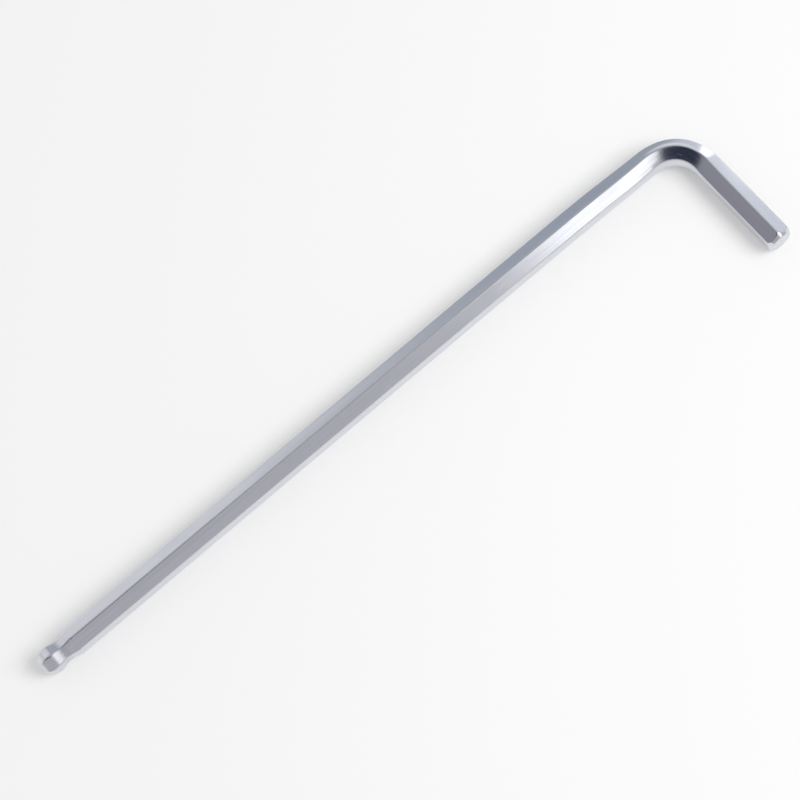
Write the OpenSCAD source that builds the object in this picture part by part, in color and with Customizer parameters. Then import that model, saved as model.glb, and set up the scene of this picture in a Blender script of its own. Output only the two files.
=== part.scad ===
// Hex key with a ball on its long arm, bent from one hexagonal steel bar.
// The key lies flat: the long arm runs along X, with its ball at -X, and the
// short arm points to -Y. The bar stands on an edge, so it rests on the lowest
// edge of both arms, and its upper and lower edges follow the bend's middle.

/* [Bar] */
// Distance across the flats of the bar
across_flats = 6; // [4:0.5:10]
// Radius that drawing the bar leaves on its six edges
edge_radius = 0.55; // [0.2:0.05:0.9]

/* [Arms] */
// Long arm, from the small face on the ball to the outside of the short arm
long_arm = 186; // [120:1:260]
// Short arm, from its end face to the outside of the long arm
short_arm = 37.3; // [30:0.1:60]

/* [Bend] */
// Inside radius of the bend
bend_inner_radius = 7; // [5:0.5:14]

/* [Ball] */
// How much narrower the ball is than the bar, across the flats
ball_clearance = 0.1; // [0.05:0.05:0.3]
// How much longer the crown radius of the ball's flats is than half its width
crown_extra = 0.55; // [0.2:0.05:1]
// Height of the ball's six ridges above the middle of its flats
ridge_height = 0.33; // [0.25:0.01:0.38]
// Width of the small face on the ball's end
ball_face = 2.6; // [1:0.1:3.2]

/* [Neck] */
// Depth of the neck below each flat of the bar
neck_depth = 0.6; // [0.3:0.05:0.9]
// Radius of the hollow that forms the neck, seen from the side
neck_radius = 5; // [3:0.5:9]

/* [Short end] */
// How far the chamfer on the short arm cuts in from the bar's edges
chamfer_depth = 0.75; // [0.45:0.05:1.2]
// Angle between that chamfer and the axis of the arm
chamfer_angle = 30; // [20:5:60]

/* [Hidden] */

// Fragments of a full circle, for the preview
round_parts = 96;
// Room that a cutting profile leaves outside the bar
spare = 1;

// Half the distance across the rounded edges of the bar
edge_reach = across_flats / sqrt(3) - edge_radius * (2 / sqrt(3) - 1);

// Centres of the edge rounding, and the straight part of each flat
edge_centre = edge_reach - edge_radius;
flat_straight = edge_centre;

// Axes of the two arms, with the key centred on X and Y
long_axis_y = (short_arm - across_flats) / 2;
short_axis_x = (long_arm - across_flats) / 2;

// Centreline radius of the bend, and the straight length of each arm
bend_radius = bend_inner_radius + across_flats / 2;
long_straight = long_arm - across_flats / 2 - bend_radius;
short_straight = short_arm - across_flats / 2 - bend_radius;

// Ball: crowned flats, with the crown's centre beyond the axis
ball_half = (across_flats - ball_clearance) / 2;
crown_radius = ball_half + crown_extra;
ball_x = sqrt(pow(crown_radius, 2) - pow(ball_face / 2 + crown_extra, 2));

// Neck: one hollow arc that runs on smoothly from the crown
neck_centre_y = across_flats / 2 - neck_depth + neck_radius;
neck_run = sqrt(pow(crown_radius + neck_radius, 2) - pow(neck_centre_y + crown_extra, 2));
neck_x = ball_x + neck_run;

// Where crown and neck meet on an outline that is swollen by a given amount
function meet_x(swell) =
    ball_x + neck_run * (crown_radius + swell) / (crown_radius + neck_radius);

// Section of the bar: flats to the left and right, edges at the top and bottom
module bar_section() {
    for (turn = [0 : 60 : 120])
        rotate(turn)
            square([across_flats, flat_straight], center = true);
    for (turn = [30 : 60 : 330])
        rotate(turn)
            translate([edge_centre, 0])
                circle(r = edge_radius, $fn = round_parts);
}

// Straight bar along +X
module bar(length) {
    rotate([90, 0, 90])
        linear_extrude(length)
            bar_section();
}

// Stretch of an outline between two places along X, wider than the bar
module stretch(start, end) {
    reach = edge_reach + spare;
    polygon([[start, -reach], [end, -reach], [end, reach], [start, reach]]);
}

// Side outline of the ball and the neck, along +X from the ball's face at zero
module ball_outline(swell, start, end) {
    intersection() {
        stretch(start, meet_x(swell));
        translate([ball_x, -crown_extra])
            circle(r = crown_radius + swell, $fn = round_parts);
        translate([ball_x, crown_extra])
            circle(r = crown_radius + swell, $fn = round_parts);
    }
    difference() {
        stretch(meet_x(swell), end);
        for (side = [-1, 1])
            translate([neck_x, side * neck_centre_y])
                circle(r = neck_radius - swell, $fn = 2 * round_parts);
    }
}

// One opposite pair of the flats of ball and neck, at a turn about the arm
module ball_flats(turn, length) {
    rotate([turn, 0, 0])
        translate([0, 0, -edge_reach - spare])
            linear_extrude(2 * (edge_reach + spare))
                ball_outline(0, -spare, length);
}

// Turned form that rounds the ridges and faces the ball's end
module ball_turned(length) {
    rotate([0, 90, 0])
        rotate_extrude($fn = round_parts)
            intersection() {
                rotate(90)
                    ball_outline(ridge_height, 0, length);
                square([edge_reach + 2 * spare, length]);
            }
}

// Long arm along +X, from the ball's face
module long_arm_bar() {
    past_end = long_straight + spare;
    intersection() {
        bar(long_straight);
        ball_turned(past_end);
        ball_flats(0, past_end);
        ball_flats(60, past_end);
        ball_flats(120, past_end);
    }
}

// Short arm along +X, from its end face
module short_arm_bar() {
    face_radius = edge_reach - chamfer_depth;
    wide_radius = edge_reach + spare;
    intersection() {
        bar(short_straight);
        rotate([0, 90, 0])
            rotate_extrude($fn = round_parts)
                polygon([
                    [0, 0],
                    [face_radius, 0],
                    [wide_radius, (wide_radius - face_radius) / tan(chamfer_angle)],
                    [wide_radius, short_straight + spare],
                    [0, short_straight + spare],
                ]);
    }
}

// Bend about its own centre, from the +X side round to the +Y side
module bend() {
    rotate_extrude(angle = 90, $fn = 2 * round_parts)
        translate([bend_radius, 0])
            bar_section();
}

module hex_key() {
    color([0.74, 0.75, 0.79])
        translate([0, 0, edge_reach]) {
            translate([-long_arm / 2, long_axis_y])
                long_arm_bar();
            translate([short_axis_x - bend_radius, long_axis_y - bend_radius])
                bend();
            translate([short_axis_x, -short_arm / 2])
                rotate(90)
                    short_arm_bar();
        }
}

hex_key();
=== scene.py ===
import bpy
import numpy as np
from mathutils import Matrix


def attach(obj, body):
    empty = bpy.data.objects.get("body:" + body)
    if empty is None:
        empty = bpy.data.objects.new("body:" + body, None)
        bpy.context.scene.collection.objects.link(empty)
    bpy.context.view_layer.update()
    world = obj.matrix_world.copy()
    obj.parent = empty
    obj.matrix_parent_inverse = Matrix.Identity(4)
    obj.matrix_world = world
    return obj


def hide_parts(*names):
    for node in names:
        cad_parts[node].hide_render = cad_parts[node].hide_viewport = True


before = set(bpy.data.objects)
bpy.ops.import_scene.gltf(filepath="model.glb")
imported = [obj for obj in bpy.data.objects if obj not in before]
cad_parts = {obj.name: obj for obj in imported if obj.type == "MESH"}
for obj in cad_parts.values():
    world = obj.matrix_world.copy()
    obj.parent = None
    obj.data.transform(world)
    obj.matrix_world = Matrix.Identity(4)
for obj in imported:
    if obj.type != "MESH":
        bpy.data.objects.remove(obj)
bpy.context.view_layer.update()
scene = bpy.context.scene
scene.view_settings.view_transform = "Standard"
print("frame loaded")


# Lengths are in millimetres. Places on the bar are distances along its middle
# from the ball's face, or back from the short arm's face where it says so.
keyForm = {
    "acrossFlats": 6.0,
    "edgeRadius": 0.55,
    "longArm": 186.0,
    "shortArm": 37.3,
    "bendRadius": 10.0,  # of the bar's middle
    "ballClearance": 0.1,
    "crownExtra": 0.55,
    "ridgeHeight": 0.33,
    "ballFace": 2.6,
    "neckDepth": 0.6,
    "neckRadius": 5.0,
    "chamferDepth": 0.75,
    "chamferAngle": 30.0,  # degrees from the arm's axis
    "rimRound": 0.22,  # how far the rounding of the short arm's face reaches
    "ballRimRound": 0.1,  # the same for the ball's face
    "creaseBlend": 0.045,  # how softly two faces of the ball meet
    "fadeBlend": 0.14,  # how much softer that is where the neck fades out
    "fadePlace": 8.4,
    "fadeReach": 0.8,
    "rimBlend": 0.03,  # how softly the chamfer meets the faces of the bar
    "ridgeDrift": 0.48,  # how far bending draws the top ridge outwards
    "ridgeSpread": 14.0,  # and how far along the path that is felt
    "pullPlace": 0.9,  # where the bend's section changes most, over half the bend
    "pullReach": 0.72,  # how far that change reaches, over the bend's radius
    "innerSpread": 0.173,  # slope by which the bar thickens inside the bend
    "innerBlend": 0.35,  # how softly that sets in
    "outerDraw": 0.25,  # how far the outer flat sinks in the bend
    "planeFade": 1.2,  # height over which the shifts set in
    "heightLoss": 0.0135,  # share of its height that the bend loses
    "lead": 0.6,  # how far the long arm dips before the bend
    "leadReach": 12.0,
    "follow": 0.15,  # the same for the short arm, after the bend
    "followReach": 9.0,
    "noLimit": 9.0,  # a radius well outside the bar
    "hexagonEnd": 10.0,  # up to here a row is limited by a hexagon, then by a circle
    "faceRings": (0, 0.4, 0.8),  # of the ball's face, as shares of its half width
    "ballRimRows": 4,
    "crownRows": (0.08, 1.0, 20),  # from where to where, and how many
    "neckRows": (1.08, 9.4, 92),
    "longStart": 9.8,
    "longRows": 40,
    "bendGap": 0.5,  # between the bend and the rows beside it
    "bendRows": 121,
    "shortStop": 1.6,  # back from the face
    "shortRows": 14,
    "chamferStart": 1.45,  # back from the face
    "chamferRows": 34,
    "rimRows": 8,
    "faceRows": 7,
    "edgeSpan": 6.5,  # degrees to each side of an edge with close turns
    "edgeTurns": 26,
    "flatTurns": 12,
    "slopeStep": 0.001,  # of a row and of a radian, for the normals
    "edgeBand": 3.2,  # how far the mask of the edges reaches, in degrees
    "bendBand": 8.5,  # and the mask of the bend, in millimetres
    "ballEnd": 8.2,  # where the mask of the ball ends
    "ballFade": 0.5,
    "neckMiddle": 5.6,
    "neckBand": 0.9,
    "cutStart": 0.03,  # back from the face
    "cutFade": 0.04,
}
perFace = np.pi / 3  # each of the bar's six faces takes up this angle


# Angle from the middle of the flat that a turn about the bar lies on: the
# remainder of the turn over one face's angle, counted from the flat's middle.
def angleOnFlat(turn):
    return (turn + perFace / 2) % perFace - perFace / 2


# Smooth least of several lengths: minus the blend times the logarithm of the
# sum of the exponentials of minus each length over the blend.
def softLeast(lengths, blend):
    stack = np.stack(np.broadcast_arrays(*lengths))
    least = stack.min(axis=0)
    return least - blend * np.log(np.exp((least - stack) / blend).sum(axis=0))


# Bell curve: the exponential of minus a power of the distance from its middle
# over its reach. The fourth power gives it a flat top.
def bell(along, middle, reach, power=2):
    return np.exp(-(((along - middle) / reach) ** power))


# Distance from the bar's axis to its skin at a turn about it: the flat's
# distance over the cosine of the angle to the flat's middle, or near an edge
# the far side of the rounding circle.
def barReach(turn, form):
    half = form["acrossFlats"] / 2
    radius = form["edgeRadius"]
    centre = half * 2 / 3**0.5 - radius * 2 / 3**0.5
    fromFlat = np.abs(angleOnFlat(turn))
    fromEdge = perFace / 2 - fromFlat
    border = np.arctan2(radius / 2, centre + radius * 3**0.5 / 2)
    inRoot = np.maximum(radius**2 - (centre * np.sin(fromEdge)) ** 2, 0)
    rounded = centre * np.cos(fromEdge) + np.sqrt(inRoot)
    return np.where(fromEdge < border, rounded, half / np.cos(fromFlat))


# Half width of the ball and the neck at a place on the bar: a crown arc, then a
# hollow arc that runs on from it, both moved out by a swell.
def ballHalf(along, swell, form):
    half = (form["acrossFlats"] - form["ballClearance"]) / 2
    extra = form["crownExtra"]
    crown = half + extra
    neck = form["neckRadius"]
    neckY = form["acrossFlats"] / 2 - form["neckDepth"] + neck
    crownX = np.sqrt(crown**2 - (form["ballFace"] / 2 + extra) ** 2)
    run = np.sqrt((crown + neck) ** 2 - (neckY + extra) ** 2)
    meet = crownX + run * (crown + swell) / (crown + neck)
    onCrown = np.sqrt(np.maximum((crown + swell) ** 2 - (along - crownX) ** 2, 0))
    hollow = (neck - swell) ** 2 - (along - crownX - run) ** 2
    onNeck = neckY - np.sqrt(np.maximum(hollow, 0))
    past = (hollow <= 0) & (along > meet)
    shape = np.where(along < meet, onCrown - extra, onNeck)
    return np.where(past, form["noLimit"], shape)


# Where the bend starts and ends: at the long arm less half a bar and the bend's
# radius, and a quarter circle further on.
def bendEnds(form):
    start = form["longArm"] - form["acrossFlats"] / 2 - form["bendRadius"]
    return start, start + form["bendRadius"] * np.pi / 2


# Middle of the bar and its outward direction at a place on it: a straight long
# arm, a quarter circle, and a straight short arm. Two bell curves draw the arms
# inwards where the bend starts and ends.
def barPath(along, form):
    half = form["acrossFlats"] / 2
    bend = form["bendRadius"]
    start, end = bendEnds(form)
    angle = np.clip((along - start) / bend, 0, np.pi / 2)
    before = np.minimum(along, start)
    after = np.maximum(along - start - bend * np.pi / 2, 0)
    x = before + bend * np.sin(angle) - form["longArm"] / 2
    y = (form["shortArm"] / 2 - half) - bend * (1 - np.cos(angle)) - after
    lead = form["lead"] * bell(along, start, form["leadReach"])
    follow = form["follow"] * bell(along, end, form["followReach"])
    x = x - follow * np.sin(angle) ** 2
    y = y - lead * np.cos(angle) ** 2
    return x, y, np.sin(angle), np.cos(angle)


# Section of the bent bar: its upper and lower ridges drift outwards by a wide
# bell curve along the path. By a flat-topped one it gets thicker on the inside
# and flatter on the outside. Each shift fades out towards the bend's own plane.
def bentSection(along, side, up, form):
    half = form["acrossFlats"] / 2
    bend = form["bendRadius"]
    middle = bendEnds(form)[0] + bend * np.pi / 4 * form["pullPlace"]
    pull = bell(along, middle, bend * form["pullReach"], 4)
    drift = form["ridgeDrift"] * bell(along, middle, form["ridgeSpread"])
    fade = 1 - bell(up, 0, form["planeFade"])
    soft = form["innerBlend"]
    inside = soft * np.log1p(np.exp(-side / soft))
    outside = np.clip(side / half, 0, 1)
    sunk = form["outerDraw"] * pull * outside
    newSide = side + drift * fade * (1 - outside) - sunk
    thicker = form["innerSpread"] * inside + form["outerDraw"] * outside**2
    newUp = up + np.sign(up) * pull * fade * thicker
    return newSide, newUp * (1 - form["heightLoss"] * pull)


# Arc of a parabola that rounds a corner: the corner, plus one leg times the
# square of the way still to go, plus the other times the square of the way gone.
def roundCorner(corner, legBefore, legAfter, count):
    gone = np.linspace(0, 1, count + 1)
    before = np.outer((1 - gone) ** 2, legBefore)
    return np.array(corner) + before + np.outer(gone**2, legAfter)


# Rows of the surface, from the middle of the ball's face to the middle of the
# short arm's face: a place on the bar, and a greatest radius there. Both faces
# have round rims, whose legs lie in the face and along the crown or the chamfer.
def keyRows(form):
    half = form["acrossFlats"] / 2
    start, end = bendEnds(form)
    total = end + form["shortArm"] - half - form["bendRadius"]
    ballFace = form["ballFace"] / 2
    crown = half - form["ballClearance"] / 2 + form["crownExtra"]
    crownTurn = np.arccos((ballFace + form["crownExtra"]) / crown)
    reach = form["ballRimRound"]
    alongCrown = (reach * np.cos(crownTurn), reach * np.sin(crownTurn))
    rows = [np.array([(0, ballFace * share) for share in form["faceRings"]])]
    rows.append(roundCorner((0, ballFace), (0, -reach), alongCrown, form["ballRimRows"]))
    gap = form["bendGap"]
    for first, last, count in (
        form["crownRows"],
        form["neckRows"],
        (form["longStart"], start - gap, form["longRows"]),
        (start, end, form["bendRows"]),
        (end + gap, total - form["shortStop"], form["shortRows"]),
    ):
        places = np.linspace(first, last, count)
        rows.append(np.stack([places, np.full(count, form["noLimit"])], axis=1))
    faceRadius = barReach(perFace / 2, form) - form["chamferDepth"]
    slope = np.tan(np.radians(form["chamferAngle"]))
    reach = form["rimRound"]
    back = np.linspace(form["chamferStart"], reach, form["chamferRows"])
    rows.append(np.stack([total - back, faceRadius + back * slope], axis=1))
    legs = ((-reach, reach * slope), (0, -reach))
    rows.append(roundCorner((total, faceRadius), *legs, form["rimRows"])[1:])
    inwards = np.linspace(faceRadius - reach, 0, form["faceRows"] + 1)[1:]
    rows.append(np.stack([np.full(inwards.size, total), inwards], axis=1))
    return np.concatenate(rows)


# Point of the skin at a row and a turn: the path's middle there, plus the
# radius times the outward direction's cosine and the upright's sine. The
# radius is the smooth least of bar, ball flats, turned ridges and row limit.
def keySkin(row, turn, rows, form):
    index = np.arange(len(rows))
    along = np.interp(row, index, rows[:, 0])
    limit = np.interp(row, index, rows[:, 1])
    toFlat = np.cos(angleOnFlat(turn))
    flats = ballHalf(along, 0, form) / toFlat
    turned = ballHalf(along, form["ridgeHeight"], form)
    softer = form["fadeBlend"] * bell(along, form["fadePlace"], form["fadeReach"])
    blend = form["creaseBlend"] + softer
    reach = softLeast([barReach(turn, form), flats, turned], blend)
    limit = np.where(along < form["hexagonEnd"], limit / toFlat, limit)
    radius = softLeast([reach, limit], form["rimBlend"])
    x, y, outX, outY = barPath(along, form)
    side, up = radius * np.cos(turn), radius * np.sin(turn)
    newSide, newUp = bentSection(along, side, up, form)
    height = newUp + barReach(perFace / 2, form)
    place = np.stack([x + newSide * outX, y + newSide * outY, height], axis=-1)
    return place, along, side, up


# Turns about the bar, close together at its six edges and spread on its flats.
def keyTurns(form):
    span = form["edgeSpan"]
    edge = np.linspace(-span, span, form["edgeTurns"] + 1)[:-1]
    flat = np.linspace(span, 60 - span, form["flatTurns"] + 1)[:-1]
    sector = np.radians(np.concatenate([edge, flat])) + perFace / 2
    return (sector[None, :] + np.arange(6)[:, None] * perFace).ravel()


# Masks for the finish, each with its value at the middle of the ball's face and
# of the short arm's face: bell curves about an edge, the bend and the neck, and
# smooth steps by the hyperbolic tangent at the ball's end and the cut face.
def keyMasks(along, turn, total, form):
    start, end = bendEnds(form)
    bendMiddle = start + form["bendRadius"] * np.pi / 4
    fromEdge = perFace / 2 - np.abs(angleOnFlat(turn))
    pastBall = (along - form["ballEnd"]) / form["ballFade"]
    beforeCut = (total - along - form["cutStart"]) / form["cutFade"]
    return {
        "nearEdge": (bell(fromEdge, 0, np.radians(form["edgeBand"])), 0, 0),
        "inBend": (bell(along, bendMiddle, form["bendBand"], 4), 0, 0),
        "onBall": (0.5 - 0.5 * np.tanh(pastBall), 1, 0),
        "inNeck": (bell(along, form["neckMiddle"], form["neckBand"]), 0, 0),
        "onCut": (0.5 - 0.5 * np.tanh(beforeCut), 0, 1),
    }


# The mesh is the grid of rows and turns, closed by a point at each end. Its
# normals are the cross product of the skin's two slopes.
def buildKey(form):
    rows = keyRows(form)
    inner = np.arange(1, len(rows) - 1, dtype=float)
    row, turn = np.meshgrid(inner, keyTurns(form), indexing="ij")
    points, along, side, up = keySkin(row, turn, rows, form)
    step = form["slopeStep"]
    slopes = []
    for rowStep, turnStep in ((0, step), (step, 0)):
        ahead = keySkin(row + rowStep, turn + turnStep, rows, form)[0]
        behind = keySkin(row - rowStep, turn - turnStep, rows, form)[0]
        slopes.append(ahead - behind)
    normals = np.cross(*slopes)
    normals /= np.linalg.norm(normals, axis=-1, keepdims=True)

    endRows = np.array([0.0, len(rows) - 1.0])
    ends, endAlong, _, _ = keySkin(endRows, np.zeros(2), rows, form)
    count, around = row.shape
    vertices = np.concatenate([points.reshape(-1, 3), ends]) / 1000
    endNormals = [[-1, 0, 0], [0, -1, 0]]
    allNormals = np.concatenate([normals.reshape(-1, 3), endNormals])
    grid = np.arange(count * around).reshape(count, around)
    nextTurn = np.roll(grid, -1, axis=1)
    corners = [grid[:-1], nextTurn[:-1], nextTurn[1:], grid[1:]]
    quads = np.stack(corners, axis=-1).reshape(-1, 4)
    first = np.full(around, count * around)
    startFan = np.stack([first, nextTurn[0], grid[0]], axis=-1)
    endFan = np.stack([first + 1, grid[-1], nextTurn[-1]], axis=-1)

    mesh = bpy.data.meshes.new("hexKeySkin")
    faces = quads.tolist() + startFan.tolist() + endFan.tolist()
    mesh.from_pydata(vertices, [], faces)
    mesh.polygons.foreach_set("use_smooth", np.ones(len(mesh.polygons), dtype=bool))
    mesh.normals_split_custom_set_from_vertices(allNormals)

    unbent = np.stack([along, side, up], axis=-1).reshape(-1, 3)
    coords = np.concatenate([unbent, [[place, 0, 0] for place in endAlong]])
    straightened = mesh.attributes.new("straightened", "FLOAT_VECTOR", "POINT")
    straightened.data.foreach_set("vector", coords.ravel())
    masks = keyMasks(along, turn, endAlong[1], form)
    for name, (values, atBall, atCut) in masks.items():
        field = mesh.attributes.new(name, "FLOAT", "POINT")
        field.data.foreach_set("value", np.append(values.ravel(), [atBall, atCut]))
    mesh.update()
    piece = bpy.data.objects.new("hexKeySkin", mesh)
    scene.collection.objects.link(piece)
    return piece


keySkinPiece = buildKey(keyForm)
print("key skin built:", len(keySkinPiece.data.polygons), "faces")


# A noise is its scales along and across the bar, its detail and its offset. A
# wave is its kind, scale, distortion and detail. Heights are in millimetres.
plateFinish = {
    "tint": (0.74, 0.75, 0.79, 1),
    "dulled": (0.70, 0.71, 0.75, 1),  # under finger marks
    "streak": (0.67, 0.68, 0.71, 1),  # in the deepest drawn lines
    "worn": (0.66, 0.65, 0.65, 1),  # where the plating is thin
    # painted shade: a dark colour speckled into the neck's hollow, where shade falls
    "neckShade": (0.30, 0.29, 0.28, 1),
    "drawn": ((0.02, 2.2, 2.2), 4, 0.0),  # coarse lines along the bar
    "fine": ((0.05, 9.0, 9.0), 3, 7.0),
    "peel": ((1.6, 1.9, 1.9), 3, 3.0),
    "wave": ((0.09, 0.3, 0.3), 1, 19.0),
    "smudges": ((0.06, 0.22, 0.22), 4, 11.0),
    "specks": ((1.1, 1.4, 1.4), 5, 31.0),
    "pits": ((3.2, 3.2, 3.2), 5, 17.0),
    "wrinkles": ((1.5, 0.35, 0.35), 3, 43.0),
    "mill": ("BANDS", 1.3, 1.2, 2),  # rings round the ball, square to the arm
    "saw": ("RINGS", 1.6, 0.8, 2),  # turned rings on the cut face
    "lineDepth": 0.0036,  # of the drawn lines
    "fineShare": 0.4,  # of that depth, for the fine ones
    "lineMix": (0.6, 0.4),  # coarse and fine lines in the mask of both
    "peelDepth": 0.0009,
    "waveDepth": 0.006,
    "scratchDepth": -0.0016,
    "millDepth": 0.0022,  # of the marks that shaping the ball leaves
    "wrinkleDepth": 0.004,  # in the bend
    "cutDepth": 0.02,
    "sawDepth": 0.007,
    "scratches": (  # slant, scale across, half width in the noise, offset
        (0.12, 0.9, 0.006, 5.0),
        (-0.38, 1.1, 0.005, 23.0),
        (0.75, 0.8, 0.005, 41.0),
        (0.02, 1.7, 0.009, 67.0),
    ),
    "scratchStretch": 0.035,  # scale along a scratch over the scale across it
    "scratchPatches": ((0.14, 0.3, 1), 2),
    "patchShift": 3,  # of the patches' offset from the scratches'
    "patchStep": (0.54, 0.68),
    "layRadius": 3.2,  # turns the angle about the bar into a width
    "roughness": 0.15,
    "roughDrift": 0.14,  # how much the smudges change it
    "roughShares": {  # what the lines, the masks and the scratches add
        "lines": 0.12,
        "nearEdge": 0.12,
        "inBend": 0.01,
        "onBall": 0.09,
        "inNeck": 0.06,
        "scratch": 0.12,
        "onCut": 0.16,
    },
    "dulledStep": (0.35, 0.75),  # of the smudges
    "streakStep": (0.44, 0.68),  # of the lines
    "wornStep": (0.5, 0.68),  # of the specks
    "wornEdges": 0.7,
    "wornScratches": 0.5,
    # painted shade in the neck: where the specks darken it, and by how much
    "neckShadeStep": (0.35, 0.65),  # of the specks
    "neckShadeShare": 0.3,
}


# A node's output, given as the node and its socket, goes to another's input.
def link(tree, source, node, socket):
    tree.links.new(source[0].outputs[source[1]], node.inputs[socket])


# One sum on two inputs, each a number or a node and its socket.
def maths(tree, operation, first, second, clamp=False):
    node = tree.nodes.new("ShaderNodeMath")
    node.operation = operation
    node.use_clamp = clamp
    for place, value in enumerate((first, second)):
        if isinstance(value, tuple):
            link(tree, value, node, place)
        else:
            node.inputs[place].default_value = value
    return node, 0


# A height times its depth, added to the heights so far.
def pile(tree, heights, texture, depth, mask=None):
    scaled = maths(tree, "MULTIPLY", texture, depth)
    if mask is not None:
        scaled = maths(tree, "MULTIPLY", scaled, mask)
    return maths(tree, "ADD", heights, scaled)


# Noise read from the straightened coordinates, after they are moved, turned
# and scaled. Each finer layer of it is less by the falloff.
def stretchedNoise(tree, coords, scale, detail, offset, slant=0, falloff=0.55):
    place = tree.nodes.new("ShaderNodeMapping")
    place.vector_type = "TEXTURE"
    place.inputs["Scale"].default_value = tuple(1 / v for v in scale)
    place.inputs["Location"].default_value = (offset, offset, offset)
    place.inputs["Rotation"].default_value = (0, 0, slant)
    link(tree, coords, place, "Vector")
    noise = tree.nodes.new("ShaderNodeTexNoise")
    noise.inputs["Scale"].default_value = 1
    noise.inputs["Detail"].default_value = detail
    noise.inputs["Roughness"].default_value = falloff
    link(tree, (place, "Vector"), noise, "Vector")
    return noise, "Fac"


# Bands square to the bar, or rings about its axis.
def waveRings(tree, coords, kind, scale, distortion, detail):
    wave = tree.nodes.new("ShaderNodeTexWave")
    wave.wave_type = kind
    wave.bands_direction = "X"
    wave.rings_direction = "X"
    wave.inputs["Scale"].default_value = scale
    wave.inputs["Distortion"].default_value = distortion
    wave.inputs["Detail"].default_value = detail
    link(tree, coords, wave, "Vector")
    return wave, "Fac"


# A field of the mesh, by its name.
def attribute(tree, name, socket="Fac"):
    node = tree.nodes.new("ShaderNodeAttribute")
    node.attribute_name = name
    return node, socket


# Smooth step from nought to one between two values.
def ramp(tree, source, low, high):
    node = tree.nodes.new("ShaderNodeMapRange")
    node.interpolation_type = "SMOOTHSTEP"
    node.inputs["From Min"].default_value = low
    node.inputs["From Max"].default_value = high
    link(tree, source, node, "Value")
    return node, "Result"


# One colour under another, which covers it by an amount. Each colour is four
# numbers, or a node and its socket.
def mixColour(tree, amount, under, over):
    node = tree.nodes.new("ShaderNodeMix")
    node.data_type = "RGBA"
    link(tree, amount, node, 0)
    for place, value in ((6, under), (7, over)):
        if isinstance(value[0], (int, float)):
            node.inputs[place].default_value = value
        else:
            link(tree, value, node, place)
    return node, 2


# An empty node group that takes a vector and gives out numbers.
def newGroup(name, results):
    group = bpy.data.node_groups.new(name, "ShaderNodeTree")
    sockets = group.interface
    sockets.new_socket("Vector", in_out="INPUT", socket_type="NodeSocketVector")
    for result in results:
        sockets.new_socket(result, in_out="OUTPUT", socket_type="NodeSocketFloat")
    enter = group.nodes.new("NodeGroupInput")
    return group, (enter, "Vector"), group.nodes.new("NodeGroupOutput")


# Node group for fine scratches on the skin laid flat, its second part being the
# turn times a radius: thin lines where a noise that is stretched along a
# slanting way crosses its middle value, kept in patches by another noise.
def buildScratches(finish):
    group, coords, leave = newGroup("fineScratches", ["Mask"])
    parts = group.nodes.new("ShaderNodeSeparateXYZ")
    link(group, coords, parts, 0)
    turn = maths(group, "ARCTAN2", (parts, 2), (parts, 1))
    flat = group.nodes.new("ShaderNodeCombineXYZ")
    link(group, (parts, 0), flat, 0)
    link(group, maths(group, "MULTIPLY", turn, finish["layRadius"]), flat, 1)
    laid = (flat, 0)
    total = None
    for slant, across, thin, offset in finish["scratches"]:
        stretch = (across * finish["scratchStretch"], across, 1)
        lines = stretchedNoise(group, laid, stretch, 0, offset, slant)
        off = maths(group, "ABSOLUTE", maths(group, "SUBTRACT", lines, 0.5), 0)
        thread = ramp(group, off, thin, 0.0)
        patchOffset = offset + finish["patchShift"]
        patches = stretchedNoise(group, laid, *finish["scratchPatches"], patchOffset)
        kept = ramp(group, patches, *finish["patchStep"])
        thread = maths(group, "MULTIPLY", thread, kept)
        total = maths(group, "MAXIMUM", total, thread) if total else thread
    link(group, total, leave, "Mask")
    return group


# Node group for the bar's skin: lines along the drawing direction, a fine peel
# and a slow wave, as a height in millimetres and a mask of the lines alone.
def buildDrawnSkin(finish):
    group, coords, leave = newGroup("drawnSkin", ["Height", "Lines"])
    drawn = stretchedNoise(group, coords, *finish["drawn"])
    fine = stretchedNoise(group, coords, *finish["fine"])
    peel = stretchedNoise(group, coords, *finish["peel"])
    wave = stretchedNoise(group, coords, *finish["wave"])
    height = maths(group, "MULTIPLY", drawn, finish["lineDepth"])
    height = pile(group, height, fine, finish["lineDepth"] * finish["fineShare"])
    height = pile(group, height, peel, finish["peelDepth"])
    height = pile(group, height, wave, finish["waveDepth"])
    link(group, height, leave, "Height")
    coarseShare, fineShare = finish["lineMix"]
    coarse = maths(group, "MULTIPLY", drawn, coarseShare)
    link(group, pile(group, coarse, fine, fineShare), leave, "Lines")
    return group


# A node group in a tree, fed with coordinates.
def useGroup(tree, group, coords):
    node = tree.nodes.new("ShaderNodeGroup")
    node.node_tree = group
    link(tree, coords, node, "Vector")
    return node
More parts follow.
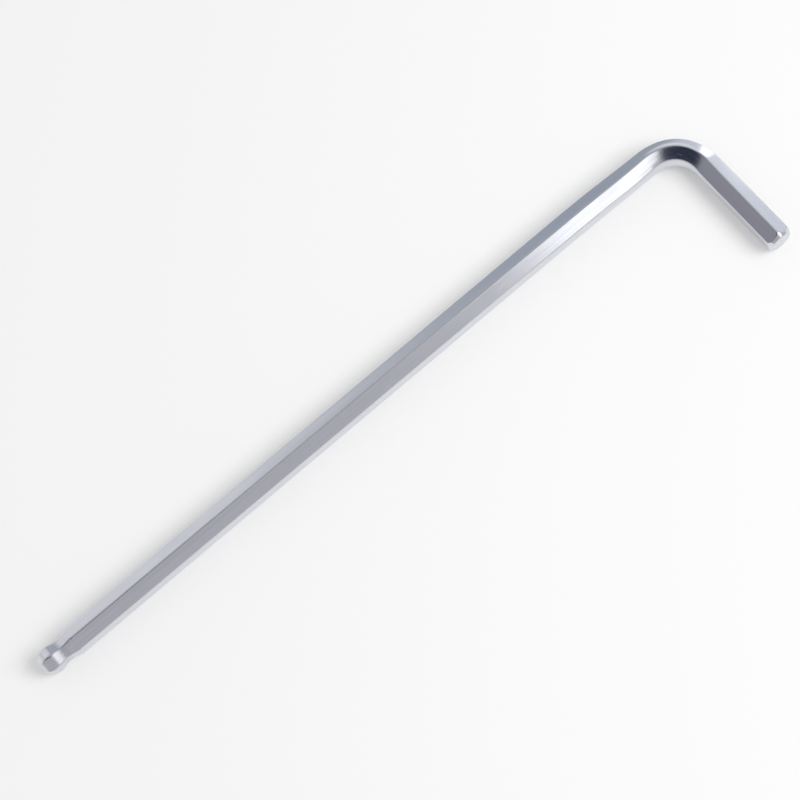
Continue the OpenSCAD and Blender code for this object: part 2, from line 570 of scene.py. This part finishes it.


# Plated steel. Its height is the drawn skin less the scratches, plus mill marks
# on the ball, wrinkles in the bend and pits and rings on the cut face. Its
# roughness is a plain value plus shares of those masks, and its colour is the
# tint, covered in turn by smudges, streaks, wear and painted shade in the neck.
def buildPlate(finish):
    material = bpy.data.materials.new("satinPlate")
    material.use_nodes = True
    tree = material.node_tree
    tree.nodes.clear()
    output = tree.nodes.new("ShaderNodeOutputMaterial")
    shader = tree.nodes.new("ShaderNodeBsdfPrincipled")
    shader.inputs["Metallic"].default_value = 1
    link(tree, (shader, "BSDF"), output, "Surface")

    coords = attribute(tree, "straightened", "Vector")
    names = ("nearEdge", "inBend", "onBall", "inNeck", "onCut")
    masks = {name: attribute(tree, name) for name in names}
    skin = useGroup(tree, buildDrawnSkin(finish), coords)
    lines = (skin, "Lines")
    scratch = (useGroup(tree, buildScratches(finish), coords), "Mask")
    notCut = maths(tree, "SUBTRACT", 1.0, masks["onCut"])
    scratch = maths(tree, "MULTIPLY", scratch, notCut)
    smudges = stretchedNoise(tree, coords, *finish["smudges"])
    specks = stretchedNoise(tree, coords, *finish["specks"])
    pits = stretchedNoise(tree, coords, *finish["pits"])
    wrinkles = stretchedNoise(tree, coords, *finish["wrinkles"])
    mill = waveRings(tree, coords, *finish["mill"])
    saw = waveRings(tree, coords, *finish["saw"])

    height = pile(tree, (skin, "Height"), scratch, finish["scratchDepth"])
    height = pile(tree, height, mill, finish["millDepth"], masks["onBall"])
    height = pile(tree, height, wrinkles, finish["wrinkleDepth"], masks["inBend"])
    height = pile(tree, height, pits, finish["cutDepth"], masks["onCut"])
    height = pile(tree, height, saw, finish["sawDepth"], masks["onCut"])
    bump = tree.nodes.new("ShaderNodeBump")
    bump.inputs["Distance"].default_value = 0.001  # the heights are millimetres
    bump.inputs["Strength"].default_value = 1
    link(tree, height, bump, "Height")
    link(tree, (bump, "Normal"), shader, "Normal")

    drift = maths(tree, "SUBTRACT", smudges, 0.5)
    rough = maths(tree, "MULTIPLY", drift, finish["roughDrift"])
    rough = maths(tree, "ADD", rough, finish["roughness"])
    adding = {"lines": maths(tree, "SUBTRACT", lines, 0.5), "scratch": scratch} | masks
    for name, share in finish["roughShares"].items():
        more = maths(tree, "MULTIPLY", adding[name], share)
        rough = maths(tree, "ADD", rough, more, clamp=True)
    link(tree, rough, shader, "Roughness")

    dulled = ramp(tree, smudges, *finish["dulledStep"])
    colour = mixColour(tree, dulled, finish["tint"], finish["dulled"])
    streaked = ramp(tree, lines, *finish["streakStep"])
    colour = mixColour(tree, streaked, colour, finish["streak"])
    bare = maths(tree, "MAXIMUM", masks["nearEdge"], masks["onCut"])
    bare = maths(tree, "MULTIPLY", ramp(tree, specks, *finish["wornStep"]), bare)
    bare = maths(tree, "MULTIPLY", bare, finish["wornEdges"])
    scraped = maths(tree, "MULTIPLY", scratch, finish["wornScratches"])
    worn = maths(tree, "MAXIMUM", bare, scraped)
    colour = mixColour(tree, worn, colour, finish["worn"])
    # painted shade: specks of the dark colour in the neck's hollow
    neckShaded = ramp(tree, specks, *finish["neckShadeStep"])
    neckShaded = maths(tree, "MULTIPLY", masks["inNeck"], neckShaded)
    neckShaded = maths(tree, "MULTIPLY", neckShaded, finish["neckShadeShare"])
    colour = mixColour(tree, neckShaded, colour, finish["neckShade"])
    link(tree, colour, shader, "Base Color")
    return material


keySkinPiece.data.materials.append(buildPlate(plateFinish))
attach(keySkinPiece, "root")
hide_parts("hex_key")
print("plate finish made")


tableTop = {
    "size": 3.0,  # metres
    "colour": (0.8, 0.8, 0.8, 1),
    "glow": 0.205,  # what a ray from the camera or a reflection adds
}


# A square at height nought. It is matte, plus a glow that only the camera and
# clear reflections see.
def buildTable(top):
    reach = top["size"] / 2
    corners = np.array([[-1, -1, 0], [1, -1, 0], [1, 1, 0], [-1, 1, 0]]) * reach
    mesh = bpy.data.meshes.new("tableTop")
    mesh.from_pydata(corners, [], [(0, 1, 2, 3)])
    table = bpy.data.objects.new("tableTop", mesh)
    scene.collection.objects.link(table)
    material = bpy.data.materials.new("paleTable")
    material.use_nodes = True
    tree = material.node_tree
    tree.nodes.clear()
    output = tree.nodes.new("ShaderNodeOutputMaterial")
    matte = tree.nodes.new("ShaderNodeBsdfDiffuse")
    matte.inputs["Color"].default_value = top["colour"]
    glow = tree.nodes.new("ShaderNodeEmission")
    path = tree.nodes.new("ShaderNodeLightPath")
    seen = maths(tree, "MAXIMUM", (path, "Is Camera Ray"), (path, "Is Glossy Ray"))
    seen = maths(tree, "MAXIMUM", seen, (path, "Is Transmission Ray"))
    link(tree, maths(tree, "MULTIPLY", seen, top["glow"]), glow, "Strength")
    both = tree.nodes.new("ShaderNodeAddShader")
    link(tree, (matte, 0), both, 0)
    link(tree, (glow, 0), both, 1)
    link(tree, (both, 0), output, "Surface")
    mesh.materials.append(material)


buildTable(tableTop)
print("table laid")


# Each patch of the studio's dome: its middle, the direction that it is long in,
# its half length and half width, how soft its rim is, and its colour. The notes
# say where the key mirrors it.
studioDome = {
    "plain": (0.50, 0.50, 0.53),
    "even": (0.55, 0.55, 0.55),  # what lights matte surfaces
    "backdrop": (1, 1, 1),  # what the camera sees past the table
    "patches": [
        # the short arm's outer face, and the flare on the outside of the bend
        ((0.95, 0.20, 0.28), (0, 1, 0), 0.65, 0.5, 0.5, (0.71, 0.74, 0.80)),
        ((0.898, 0.39, 0.20), (0, 0, 1), 0.2, 0.085, 0.4, (2.0, 2.0, 2.0)),
        # the long arm's outer face, and the same near the ball
        ((0.30, 0.94, 0.16), (1, 0, 0), 0.34, 0.3, 0.4, (0.38, 0.42, 0.48)),
        ((-0.20, 0.96, 0.20), (1, 0, 0), 0.30, 0.35, 0.25, (0.80, 0.80, 0.83)),
        # the short arm's middle face
        ((-0.80, 0.33, 0.52), (0, 0, 1), 0.5, 0.5, 0.5, (0.31, 0.31, 0.35)),
        # the inner edges and the chamfer, and the bright spots on chamfer and ball
        ((0.10, -0.95, 0.25), (1, 0, 0), 0.35, 0.2, 0.4, (0.85, 0.86, 0.88)),
        ((0.33, -0.64, 0.69), (0.94, 0.22, -0.25), 0.13, 0.2, 0.3, (1.15, 1.15, 1.18)),
        # the dark patch in the bend
        ((-0.33, -0.13, 0.935), (-0.72, 0.69, 0), 0.45, 0.25, 0.15, (0.02, 0.026, 0.05)),
    ],
}
# The soft box lights the table, and the strip is what the long arm mirrors. A
# lamp's slide is how far its middle lies sideways and upwards from its aim.
studioLamps = [
    {
        "name": "softBox",
        "aim": (0.499, -0.465, 0.731),  # from the key towards the lamp
        "distance": 1.2,
        "roll": 0.0,
        "slide": (0.0, 0.0),
        "width": 0.72,
        "height": 0.72,
        "power": 7.1,
        "mirrored": False,
    },
    {
        "name": "strip",
        "aim": (0.177, -0.661, 0.729),
        "distance": 0.45,
        "roll": 21.7,  # degrees
        "slide": (0.152, 0.012),
        "width": 0.204,
        "height": 0.25,
        "power": 0.13,
        "mirrored": True,
    },
]


# Dot product of the sight line and a fixed direction.
def sightAlong(tree, sight, direction):
    node = tree.nodes.new("ShaderNodeVectorMath")
    node.operation = "DOT_PRODUCT"
    link(tree, sight, node, 0)
    node.inputs[1].default_value = direction
    return node, "Value"


# Mix over the dome's colours: a patch covers what is under it where the sight
# line's parts along the patch's length and width, over its half length and
# half width, are less than one together, with a smooth step at the rim.
def buildDome(dome):
    world = bpy.data.worlds.new("studioDome")
    scene.world = world
    world.use_nodes = True
    tree = world.node_tree
    tree.nodes.clear()
    sight = (tree.nodes.new("ShaderNodeTexCoord"), "Generated")
    colour = dome["plain"] + (1,)
    for middle, lengthways, halfLength, halfWidth, rim, shade in dome["patches"]:
        aim = np.array(middle) / np.linalg.norm(middle)
        across = np.cross(aim, lengthways)
        across /= np.linalg.norm(across)
        parts = []
        for axis in (np.cross(across, aim) / halfLength, across / halfWidth):
            size = maths(tree, "ABSOLUTE", sightAlong(tree, sight, axis), 0)
            parts.append(maths(tree, "POWER", size, 2))
        away = maths(tree, "SQRT", maths(tree, "ADD", *parts), 0)
        inPatch = ramp(tree, away, 1 + rim, 1 - rim)
        near = maths(tree, "GREATER_THAN", sightAlong(tree, sight, aim), 0)
        cover = maths(tree, "MULTIPLY", inPatch, near)
        colour = mixColour(tree, cover, colour, shade + (1,))
    path = tree.nodes.new("ShaderNodeLightPath")
    for ray, shade in (("Is Diffuse Ray", "even"), ("Is Camera Ray", "backdrop")):
        colour = mixColour(tree, (path, ray), colour, dome[shade] + (1,))
    background = tree.nodes.new("ShaderNodeBackground")
    link(tree, colour, background, "Color")
    output = tree.nodes.new("ShaderNodeOutputWorld")
    link(tree, (background, 0), output, "Surface")


# An object goes where its own X, Y and Z axes and its origin are given.
def standAt(holder, axes, origin):
    place = Matrix(np.stack(axes, axis=1).tolist()).to_4x4()
    place.translation = origin
    holder.matrix_world = place
    scene.collection.objects.link(holder)


# A lamp's plane is square to its aim. Its width starts as near as it goes to
# the world's X, and is then turned about the aim by the roll.
def buildLamp(lamp):
    aim = np.array(lamp["aim"]) / np.linalg.norm(lamp["aim"])
    side = np.array([1.0, 0.0, 0.0]) - aim * aim[0]
    side /= np.linalg.norm(side)
    roll = np.radians(lamp["roll"])
    side = side * np.cos(roll) + np.cross(aim, side) * np.sin(roll)
    upwards = np.cross(aim, side)
    light = bpy.data.lights.new(lamp["name"], "AREA")
    light.shape = "RECTANGLE"
    light.size = lamp["width"]
    light.size_y = lamp["height"]
    light.energy = lamp["power"]
    holder = bpy.data.objects.new(lamp["name"], light)
    holder.visible_glossy = lamp["mirrored"]
    sideways, higher = lamp["slide"]
    middle = aim * lamp["distance"] + side * sideways + upwards * higher
    standAt(holder, [side, upwards, aim], middle)


buildDome(studioDome)
for lamp in studioLamps:
    buildLamp(lamp)
print("studio lit")


photoView = {
    "place": (-0.0665973, -0.1837257, 0.6222622),
    "right": (0.7608194, -0.6390072, -0.1132412),
    "down": (-0.6398819, -0.7095728, -0.2950554),
    "focalPixels": 2975.155,
    "imagePixels": 800,
    "sensor": 36.0,
    "clipStart": 0.01,
    "clipEnd": 20,
}


# The lens is the focal length in pixels times the sensor's width over the
# image's, and the camera looks against the cross product of right and up.
def buildCamera(view):
    right = np.array(view["right"])
    down = np.array(view["down"])
    camera = bpy.data.cameras.new("photoView")
    camera.sensor_width = view["sensor"]
    camera.lens = view["focalPixels"] * view["sensor"] / view["imagePixels"]
    camera.clip_start = view["clipStart"]
    camera.clip_end = view["clipEnd"]
    holder = bpy.data.objects.new("photoView", camera)
    standAt(holder, [right, -down, -np.cross(right, down)], view["place"])
    scene.camera = holder


buildCamera(photoView)
print("camera set")
